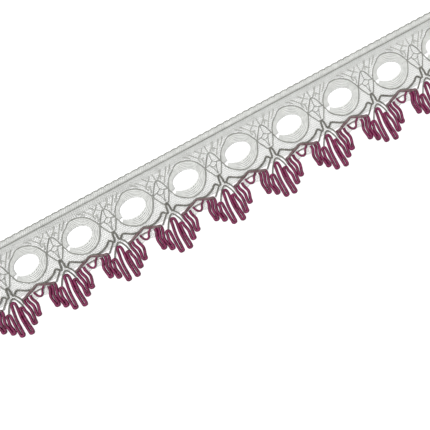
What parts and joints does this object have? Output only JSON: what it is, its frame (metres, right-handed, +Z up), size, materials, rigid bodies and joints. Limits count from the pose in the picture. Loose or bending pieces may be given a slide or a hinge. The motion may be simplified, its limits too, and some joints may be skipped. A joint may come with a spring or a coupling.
{
  "type": "eyelet lace trim",
  "caption": "Narrow knitted lace trimming lying flat, with a corded heading, a row of oval eyelets for ribbon, laid-in grey gimp and a scalloped fringe of burgundy cord loops.",
  "frame": {"origin": "centre of the cut length's box, in the plane of the underside that lies on the table", "axes": "+X along the trim, +Y across it towards the heading (the fringe points to -Y), +Z up off the table"},
  "size_m": [0.2277, 0.0377, 0.002],
  "materials": {
    "lace_yarn": "matt bright multifilament lace yarn",
    "grey_gimp": "twisted grey gimp, slight sheen",
    "burgundy_cord": "burgundy rayon cord, soft sheen"
  },
  "bodies": {
    "root": {"lace_band": "lace_yarn", "gimp_cord": "grey_gimp", "gimp_fan_00": "grey_gimp", "gimp_fan_01": "grey_gimp", "gimp_fan_02": "grey_gimp", "gimp_fan_03": "grey_gimp", "gimp_fan_04": "grey_gimp", "gimp_fan_05": "grey_gimp", "gimp_fan_06": "grey_gimp", "gimp_fan_07": "grey_gimp", "gimp_fan_08": "grey_gimp", "gimp_fan_09": "grey_gimp", "gimp_fan_10": "grey_gimp", "picot_00": "burgundy_cord", "picot_01": "burgundy_cord", "picot_02": "burgundy_cord", "picot_03": "burgundy_cord", "picot_04": "burgundy_cord", "picot_05": "burgundy_cord", "picot_06": "burgundy_cord", "picot_07": "burgundy_cord", "picot_08": "burgundy_cord", "picot_09": "burgundy_cord", "fringe_00": "burgundy_cord", "fringe_01": "burgundy_cord", "fringe_02": "burgundy_cord", "fringe_03": "burgundy_cord", "fringe_04": "burgundy_cord", "fringe_05": "burgundy_cord", "fringe_06": "burgundy_cord", "fringe_07": "burgundy_cord", "fringe_08": "burgundy_cord", "fringe_09": "burgundy_cord", "fringe_10": "burgundy_cord"}
  },
  "joints": []
}
